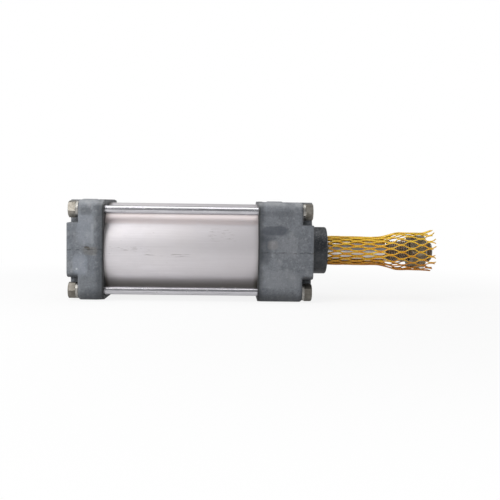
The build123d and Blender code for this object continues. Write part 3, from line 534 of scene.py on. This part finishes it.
def rod_paint(shoulder, tip, thread_radius, hole_radius):
    """Hard chrome, with a brown oily thread in front of the shoulder and a turned end face."""
    paint = Paint("rod_chrome_and_thread")
    rings = paint.noise(2200, 2.0, 0.6, stretch=(1, 0.05, 0.05))
    cloud = paint.noise(90, 4.0, 0.6)
    chrome = paint.mix(paint.step(cloud, 0.35, 0.7), (0.74, 0.73, 0.75), (0.60, 0.585, 0.59))
    film = paint.times(paint.step(paint.x, 0.016, 0.022, 0.0, 0.5),
                       paint.step(cloud, 0.30, 0.60, 0.5, 1.0))
    chrome = paint.mix(film, chrome, (0.40, 0.34, 0.27))
    patchy = paint.step(paint.noise(200, 4.0, 0.65), 0.35, 0.65)
    crest = paint.mix(patchy, (0.36, 0.285, 0.215), (0.54, 0.46, 0.39))
    radius = paint.around((0.0, 0.0), ("Y", "Z"))
    root = paint.step(radius, thread_radius - 0.0012, thread_radius)
    oily = paint.mix(root, (0.150, 0.110, 0.075), crest)
    face = paint.times(paint.step(paint.x, tip - 0.0005, tip - 0.0002),
                       paint.step(radius, hole_radius - 0.0002, hole_radius))
    marks = paint.step(paint.scaled(cloud, 1.6, paint.wave(radius, 0.9 * MM)), -0.4, 1.8)
    oily = paint.mix(face, oily, paint.mix(marks, (0.185, 0.160, 0.130), (0.34, 0.31, 0.27)))
    bare = paint.step(paint.x, shoulder - 0.0003, shoulder + 0.0001)
    paint.set("Base Color", paint.mix(bare, chrome, oily))
    paint.set("Metallic", paint.step(bare, 0.0, 1.0, 1.0, 0.45))
    paint.set("Roughness", paint.scaled(bare, 0.26, paint.step(cloud, 0.3, 0.7, 0.10, 0.20)))
    paint.relief(rings, 0.004 * MM, 0.5, bevel=0.25 * MM)
    return paint.material


def net_paint():
    """Yellow polyethylene strand, slightly see-through, with painted shade underneath and a painted
    highlight on top.
    """
    paint = Paint("net_yellow", Specular_IOR_Level=0.5, Subsurface_Weight=0.15,
                  Subsurface_Radius=(1.0, 0.5, 0.1), Subsurface_Scale=0.0012)
    cloud = paint.noise(150, 3.0, 0.6)
    fine = paint.noise(1100, 3.0, 0.6, stretch=(0.25, 1, 1))
    colour = paint.mix(paint.step(cloud, 0.35, 0.65), srgb(236, 166, 26), srgb(250, 202, 64))
    colour = paint.fade(colour, srgb(178, 98, 10), fine, 0.52, 0.72, 0.0, 0.50)
    # painted shade underneath: darker orange
    colour = paint.fade(colour, srgb(180, 94, 4), paint.z, -0.018, -0.004, 0.62, 0.0)
    # painted highlight on top: lighter yellow
    colour = paint.fade(colour, srgb(255, 216, 72), paint.z, 0.002, 0.014, 0.0, 0.60)
    paint.set("Base Color", colour)
    paint.set("Roughness", paint.step(fine, 0.3, 0.7, 0.34, 0.48))
    paint.relief(paint.scaled(cloud, 0.5, fine), 0.06 * MM, 0.6)
    return paint.material


# ---- Materials on the CAD nodes -------------------------------------------------------------

dress(
    casting(
        "front_cap_coat", front_inner, front_high.x, front_inner + PORT_SETBACK,
        0.0055, 0.60, -0.0004, (0.31, 0.12, 0.77),
        ((112, 116, 122), (124, 128, 134), (146, 149, 152), (88, 92, 100)),
        (
            ((front_inner + 0.0185, 0.0238), (0.0140, 0.0050), 0.60, (72, 76, 84), 0.66),
            ((front_inner + 0.0060, 0.0020), (0.0080, 0.0150), 0.90, (66, 70, 76), 0.62),
            ((front_inner + 0.0080, 0.0180), (0.0100, 0.0060), 0.90, (74, 78, 85), 0.50),
            ((front_inner + 0.0240, -0.0300), (0.0240, 0.0100), 0.90, (150, 153, 157), 0.28),
            ((front_inner + 0.0330, 0.0060), (0.0110, 0.0120), 0.90, (152, 154, 158), 0.26),
            ((front_inner + 0.0160, 0.0080), (0.0055, 0.0050), 0.80, (146, 142, 140), 0.34),
            ((front_inner + 0.0200, 0.0420), (0.0200, 0.0030), 0.80, (82, 86, 92), 0.40),
        ),
    ),
    "front_cap", "front_needle_retainer",
)
dress(
    casting(
        "rear_cap_coat", rear_inner, rear_low.x, rear_inner - PORT_SETBACK,
        0.0075, 0.54, 0.0006, (0.83, 0.45, 0.19),
        ((112, 117, 124), (127, 131, 136), (150, 152, 155), (94, 100, 109)),
        (
            ((rear_inner - 0.0180, 0.0032), (0.0028, 0.0011), 0.60, (60, 54, 44), 0.75),
            ((rear_inner - 0.0158, 0.0014), (0.0014, 0.0016), 0.60, (60, 54, 44), 0.60),
            ((rear_inner - 0.0140, -0.0010), (0.0080, 0.0045), 0.90, (104, 98, 88), 0.40),
            ((rear_low.x + 0.0112, -0.0205), (0.0010, 0.0011), 0.50, (200, 204, 208), 0.85),
            ((rear_low.x + 0.0150, -0.0160), (0.0080, 0.0110), 0.90, (156, 162, 172), 0.42),
            ((rear_low.x + 0.0230, -0.0360), (0.0150, 0.0080), 0.90, (100, 104, 108), 0.34),
            ((rear_low.x + 0.0200, 0.0240), (0.0090, 0.0170), 0.90, (152, 158, 168), 0.34),
            ((rear_inner - 0.0120, 0.0180), (0.0016, 0.0120), 0.60, (150, 154, 158), 0.40),
            ((rear_inner - 0.0190, 0.0420), (0.0060, 0.0040), 0.80, (78, 82, 86), 0.45),
        ),
    ),
    "rear_cap", "rear_needle_retainer",
)
dress(barrel_paint(), "barrel_tube")
dress(tie_rod_paint(), "tie_rod_1", "tie_rod_2", "tie_rod_3", "tie_rod_4")
dress(nut_paint("tie_rod_nut_zinc", (0.27, 0.25, 0.215), (0.44, 0.415, 0.37), 0.38, dirt_and_shade=0.55),
      "front_tie_rod_nuts", "rear_tie_rod_nuts", "piston_nut")
dress(nut_paint("lock_nut_zinc", (0.22, 0.195, 0.14), (0.36, 0.33, 0.27), 0.42), "rod_lock_nut")
dress(turned("washer_bright", (0.33, 0.32, 0.295), (0.50, 0.485, 0.46), 0.34, scale=500),
      "front_lock_washers", "rear_lock_washers")
dress(gland_paint(), "rod_gland")
dress(rubber_paint(), "front_barrel_oring", "rear_barrel_oring", "front_cushion_seal",
      "rear_cushion_seal", "rod_seal", "rod_wiper", "gland_oring", "front_needle_oring",
      "rear_needle_oring", "front_piston_seal", "rear_piston_seal", "piston_oring")
dress(plastic_paint(), "piston_wear_ring")
dress(turned("bush_bronze", (0.42, 0.27, 0.12), (0.60, 0.42, 0.20), 0.38, stretch=(1, 0.1, 0.1)),
      "rod_bush")
dress(turned("needle_brass", (0.50, 0.36, 0.14), (0.72, 0.56, 0.27), 0.26),
      "front_cushion_needle", "rear_cushion_needle")
dress(turned("piston_alloy", (0.50, 0.50, 0.51), (0.72, 0.72, 0.73), 0.30, stretch=(1, 0.1, 0.1)),
      "piston")
dress(turned("sleeve_steel", (0.46, 0.46, 0.47), (0.66, 0.66, 0.68), 0.22, stretch=(1, 0.1, 0.1)),
      "front_cushion_sleeve", "rear_cushion_sleeve")


# ---- Mesh helpers ---------------------------------------------------------------------------


def tube_faces(faces, first, rings, sides):
    """Quads between rings of points numbered from first, and a cap at either end."""
    for ring in range(rings - 1):
        base = first + ring * sides
        for side in range(sides):
            after = (side + 1) % sides
            faces.append((base + side, base + after, base + sides + after, base + sides + side))
    last = first + (rings - 1) * sides
    faces.append(tuple(range(first + sides - 1, first - 1, -1)))
    faces.append(tuple(range(last, last + sides)))


def new_piece(name, points, faces, material, sharp=None):
    """A mesh piece from points in metres, smooth, with edges over sharp degrees kept crisp."""
    mesh = bpy.data.meshes.new(name)
    mesh.from_pydata(points, [], faces)
    mesh.materials.append(material)
    work = bmesh.new()
    work.from_mesh(mesh)
    bmesh.ops.remove_doubles(work, verts=work.verts, dist=1e-6)
    bmesh.ops.recalc_face_normals(work, faces=work.faces)
    for face in work.faces:
        face.smooth = True
    if sharp:
        for edge in work.edges:
            edge.smooth = not (edge.is_manifold and edge.calc_face_angle(0.0) > math.radians(sharp))
    work.to_mesh(mesh)
    work.free()
    piece = bpy.data.objects.new(name, mesh)
    bpy.context.scene.collection.objects.link(piece)
    return piece


def lathe(name, rings, segments, material, sharp):
    """Rings are (x in mm, function of angle giving the radius in mm); both ends are closed."""
    points, faces = [], []
    for x, radius in rings:
        for step in range(segments):
            angle = 2 * math.pi * step / segments
            r = radius(angle)
            points.append((x * MM, r * math.cos(angle) * MM, r * math.sin(angle) * MM))
    tube_faces(faces, 0, len(rings), segments)
    return new_piece(name, points, faces, material, sharp)


# ---- Piston rod with its real thread and spanner flats, in mm -------------------------------

rod_low, rod_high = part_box("piston_rod")
ROD_RADIUS = rod_high.y / MM
REAR, TIP = rod_low.x / MM, rod_high.x / MM
NUT_THREAD, PISTON_SEAT, SLEEVE_SEAT = 10, 11, 13           # radii behind the rod's full size
SEAT_REAR, SEAT_FRONT, SLEEVE_FRONT = -242.3, -193.3, -173.3
CHAMFER, TIP_CHAMFER = 1.5, 2.5
FLATS = (66.5, 80.5)            # start and end of the spanner flats
FLAT_HALF = 13.5
SHOULDER = 88.0                 # from here on the rod is threaded
RELIEF_RADIUS, RELIEF_LENGTH = 10.7, 3.0
PITCH, MAJOR, DEPTH = 2.0, 12.0, 1.22                       # of the thread; MAJOR is a radius
HOLE_RADIUS, PILOT_RADIUS = 3.0, 1.2                        # centre hole in the tip
HOLE_DEPTH, PILOT_DEPTH = 3.1, 5.5


def plain(radius):
    return lambda angle: radius


def flats(angle):
    return min(ROD_RADIUS, FLAT_HALF / max(abs(math.sin(angle)), 1e-6))


def threaded(x, limit):
    """Radius of a right-hand thread at x: flat crest and root, 60 degree flanks."""

    def radius(angle):
        phase = (x / PITCH + angle / (2 * math.pi)) % 1.0
        away = abs(phase - 0.5) * 2
        fall = min(1.0, max(0.0, (away - 0.125) / 0.625))
        return min(limit, MAJOR - DEPTH * fall)

    return radius


full = plain(ROD_RADIUS)
relief_end = SHOULDER + RELIEF_LENGTH
rings = [
    (REAR, plain(NUT_THREAD - CHAMFER)), (REAR + CHAMFER, plain(NUT_THREAD)),
    (SEAT_REAR, plain(NUT_THREAD)), (SEAT_REAR, plain(PISTON_SEAT)),
    (SEAT_FRONT, plain(PISTON_SEAT)), (SEAT_FRONT, plain(SLEEVE_SEAT)),
    (SLEEVE_FRONT, plain(SLEEVE_SEAT)), (SLEEVE_FRONT, full), (-100.0, full), (0.0, full),
    (FLATS[0], full), (FLATS[0], flats), (FLATS[1], flats), (FLATS[1], full),
    (SHOULDER - CHAMFER, full), (SHOULDER, plain(ROD_RADIUS - CHAMFER)),
    (SHOULDER, plain(RELIEF_RADIUS)), (relief_end, plain(RELIEF_RADIUS)),
]
x = relief_end
while x < TIP - 0.1:
    x += PITCH / 8
    rise = RELIEF_RADIUS + (x - relief_end)
    chamfer = MAJOR - TIP_CHAMFER + max(0.0, TIP - x)
    rings.append((min(x, TIP), threaded(x, min(rise, chamfer))))
rings += [(TIP, plain(HOLE_RADIUS)), (TIP - HOLE_DEPTH, plain(PILOT_RADIUS)),
          (TIP - PILOT_DEPTH, plain(PILOT_RADIUS))]
oily_chrome = rod_paint(SHOULDER * MM, TIP * MM, MAJOR * MM, HOLE_RADIUS * MM)
rod = lathe("piston_rod_turned", rings, 72, oily_chrome, 32)
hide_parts("piston_rod")
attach(rod, "piston_and_rod")


# ---- Net sleeve, in mm ----------------------------------------------------------------------
# Two neighbouring strands touch at every joint and part again round each cell.  Sixteen cells go
# round the rod, each row half a cell on from the last, so the strands wave between their joints.

net_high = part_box("rod_guard_net")[1]
CELLS = 16
STRANDS = 2 * CELLS
STRAND, STRETCHED = 0.86, 0.68  # radius of a strand on the rod and over the nut
GAP, MARGIN = 0.35, 0.05        # rod to the strands, and strands to the CAD sleeve's outside
THINS_FROM, WIDENS_FROM, WIDENS_OVER = 76.0, 79.0, 26.0
NECK, NECK_AT, NECK_LENGTH = 0.45, 72.0, 9.0                # the net draws in before the nut
SPLAYS_FROM = 130.0
STEPS = 12                      # from one joint to the next
JOINTS = (20.4, 29.5, 41.7, 54.6, 67.5, 80.2, 92.7, 104.2, 115.8, 126.7, 138.6, 149.0)
dice = random.Random(7)
joint_x = [[x + dice.uniform(-1.6, 1.6) * (x > JOINTS[0]) for _ in range(STRANDS)] for x in JOINTS]
turn = [[dice.uniform(-0.40, 0.40) for _ in range(STRANDS)] for _ in JOINTS]
lift = [[dice.uniform(0.0, 0.45) for _ in range(STRANDS)] for _ in JOINTS]


def ease(t):
    t = min(1.0, max(0.0, t))
    return t * t * (3 - 2 * t)


def thickness(x):
    """Radius of a strand, which thins where the net is stretched over the nut."""
    return STRAND + (STRETCHED - STRAND) * ease((x - THINS_FROM) / WIDENS_OVER)


def net_radius(x):
    """Middle of the strands: close on the rod, then over the nut."""
    narrow, wide = ROD_RADIUS + GAP + STRAND, net_high.z / MM - STRAND - MARGIN
    neck = -NECK * math.exp(-((x - NECK_AT) / NECK_LENGTH) ** 2)
    return narrow + neck + (wide - narrow) * ease((x - WIDENS_FROM) / WIDENS_OVER)


def strand_path(number):
    """Centre line of one strand as (x, angle, radius), from the gland to its cut end."""
    points = []
    for k in range(len(JOINTS) - 1):
        meets = number if (number + k) % 2 == 0 else number - 1
        parts = number if (number + k + 1) % 2 == 0 else number - 1
        sign = 1 if meets == number else -1

        def between(table, t):
            """A table's value at this joint, easing to its value at the next."""
            share = ease(t)
            return table[k][meets % STRANDS] * (1 - share) + table[k + 1][parts % STRANDS] * share

        start, end = between(joint_x, 0), between(joint_x, 1)
        for step in range(STEPS):
            t = step / STEPS
            x = start + (end - start) * t
            wave = math.tanh(1.35 * math.cos(math.pi * t)) / math.tanh(1.35)
            spread = math.pi / STRANDS - 0.76 * thickness(x) / net_radius(x)
            angle = math.pi * (number + 0.5) / CELLS + sign * wave * spread
            angle += 0.35 * between(turn, t) / CELLS * math.pi
            points.append((x, angle, net_radius(x) - between(lift, t)))
    return points


def sweep(path, points, faces, sides=7):
    """A round strand along a path of vectors in mm, closed at both ends."""
    first = len(points)
    for place, middle in enumerate(path):
        along = (path[min(place + 1, len(path) - 1)] - path[max(place - 1, 0)]).normalized()
        out = Vector((0, middle.y, middle.z))
        out = (out - along * out.dot(along)).normalized()
        across = along.cross(out)
        taper = 0.55 if place in (0, len(path) - 1) else 1.0
        for side in range(sides):
            angle = 2 * math.pi * side / sides
            spoke = out * math.cos(angle) + across * math.sin(angle)
            points.append(tuple((middle + thickness(middle.x) * taper * spoke) * MM))
    tube_faces(faces, first, len(path), sides)


points, faces = [], []
end_flare = [dice.uniform(0.0, 1.0) for _ in range(CELLS)]
for number in range(STRANDS):
    path = []
    tail = end_flare[((number + 1) // 2) % CELLS]
    cut = net_high.x / MM - 0.4 - 3.2 * dice.random()
    for x, angle, radius in strand_path(number):
        if x > cut:
            break
        upward = max(0.0, math.sin(angle)) ** 2
        radius += (0.2 + 1.2 * tail + 3.2 * upward) * max(0.0, (x - SPLAYS_FROM) / 14.0) ** 1.6
        path.append(Vector((x, radius * math.cos(angle), radius * math.sin(angle))))
    sweep(path, points, faces)
net = new_piece("rod_guard_net_strands", points, faces, net_paint())
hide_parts("rod_guard_net")
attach(net, "piston_and_rod")


# ---- Floor, light and camera ----------------------------------------------------------------


def whitened(tree, share, plain_shader, white_shader):
    """The plain shader, with the white one for a share of the rays."""
    shaders = plain_shader.outputs[0], white_shader.outputs[0]
    return add_node(tree, "ShaderNodeMixShader", share, *shaders).outputs[0]


def floor_paint(centre):
    """Pale matt floor that looks white, a little less so near centre, where it keeps a shadow."""
    material = bpy.data.materials.new("floor_pale")
    material.use_nodes = True
    tree = material.node_tree
    tree.nodes.clear()
    matt = add_node(tree, "ShaderNodeBsdfDiffuse", (0.80, 0.80, 0.80, 1))
    white = add_node(tree, "ShaderNodeEmission", (1, 1, 1, 1))
    rays = add_node(tree, "ShaderNodeLightPath").outputs
    place = add_node(tree, "ShaderNodeTexCoord").outputs["Object"]
    away = add_node(tree, "ShaderNodeVectorMath", place, centre, operation="DISTANCE")
    whiter = add_node(tree, "ShaderNodeMapRange", away.outputs["Value"], 0.22, 0.65, 0.86, 1.0,
                      interpolation_type="SMOOTHSTEP").outputs[0]
    seen = add_node(tree, "ShaderNodeMath", rays["Is Glossy Ray"], 0.45, rays["Is Camera Ray"],
                    operation="MULTIPLY_ADD").outputs[0]
    share = add_node(tree, "ShaderNodeMath", seen, whiter, operation="MULTIPLY").outputs[0]
    add_node(tree, "ShaderNodeOutputMaterial", whitened(tree, share, matt, white))
    return material


floor_z = cad_low.z - 0.5 * MM
floor_mesh = bpy.data.meshes.new("floor")
corners = [(x, y, floor_z) for x, y in ((-6, -6), (6, -6), (6, 6), (-6, 6))]
floor_mesh.from_pydata(corners, [], [(0, 1, 2, 3)])
floor_mesh.materials.append(floor_paint((-0.08, -0.05, floor_z)))
floor = bpy.data.objects.new("floor", floor_mesh)
bpy.context.scene.collection.objects.link(floor)

# The world is a weak cool light, seen as white by camera and transmission rays, and for a tenth by
# glossy ones.
world = bpy.data.worlds.new("studio")
world.use_nodes = True
sky = world.node_tree
sky.nodes.clear()
soft = add_node(sky, "ShaderNodeBackground", (0.97, 0.985, 1.0, 1), 0.22)
white = add_node(sky, "ShaderNodeBackground", (1, 1, 1, 1), 1.0)
rays = add_node(sky, "ShaderNodeLightPath").outputs
seen = add_node(sky, "ShaderNodeMath", rays["Is Camera Ray"], rays["Is Transmission Ray"],
                operation="MAXIMUM").outputs[0]
share = add_node(sky, "ShaderNodeMath", rays["Is Glossy Ray"], 0.10, seen,
                 operation="MULTIPLY_ADD").outputs[0]
add_node(sky, "ShaderNodeOutputWorld", whitened(sky, share, soft, white))
bpy.context.scene.world = world


def lamp(name, place, aim, size, power, colour=(1, 1, 1), mirrored=True):
    light = bpy.data.lights.new(name, "AREA")
    light.shape = "RECTANGLE"
    light.size, light.size_y = size
    light.energy = power
    light.color = colour
    made = bpy.data.objects.new(name, light)
    made.location = place
    made.rotation_euler = (Vector(aim) - Vector(place)).to_track_quat("-Z", "Y").to_euler()
    made.visible_glossy = mirrored
    bpy.context.scene.collection.objects.link(made)


lamp("key", (-0.70, -0.50, 0.52), (-0.22, 0.0, 0.0), (0.6, 0.55), 5.6, (1.0, 0.99, 0.985))
lamp("top", (-0.20, 0.0, 1.0), (-0.06, 0.0, 0.0), (1.0, 0.8), 4.7)
lamp("end", (1.05, 0.40, 0.45), (0.0, 0.0, 0.0), (0.6, 0.5), 2.6)
lamp("front", (-0.10, -1.35, 0.35), (-0.08, 0.0, 0.0), (0.9, 0.5), 0.9, mirrored=False)

# The camera stands 0.935 m off, 3.4 degrees above the rod and turned 1.6 degrees, with a slight
# roll. Distances are in mm: AIM is on the rod's axis, and the view's middle lies off it.
AIM = Vector((-62.96, 0, 0))
TURN, TILT, ROLL = math.radians(1.623), math.radians(3.374), math.radians(0.825)
DISTANCE, SIDEWAYS, UPWARD = 934.7, 5.564, 0.715
level_right = Vector((math.cos(TURN), -math.sin(TURN), 0))
ahead = Vector((math.sin(TURN), math.cos(TURN), 0))
level_up = math.sin(TILT) * ahead + Vector((0, 0, math.cos(TILT)))
forward = math.cos(TILT) * ahead - Vector((0, 0, math.sin(TILT)))
right = math.cos(ROLL) * level_right + math.sin(ROLL) * level_up
up = -math.sin(ROLL) * level_right + math.cos(ROLL) * level_up
eye = AIM - SIDEWAYS * right - UPWARD * up - DISTANCE * forward
camera_data = bpy.data.cameras.new("camera")
camera_data.sensor_width = 36.0
camera_data.lens = 57.99
camera_data.clip_start = 0.01
camera_data.clip_end = 50.0
camera = bpy.data.objects.new("camera", camera_data)
facing = Matrix((right, up, -forward)).transposed().to_4x4()
camera.matrix_world = Matrix.Translation(eye * MM) @ facing
bpy.context.scene.collection.objects.link(camera)
bpy.context.scene.camera = camera
bpy.context.scene.view_settings.view_transform = "Standard"
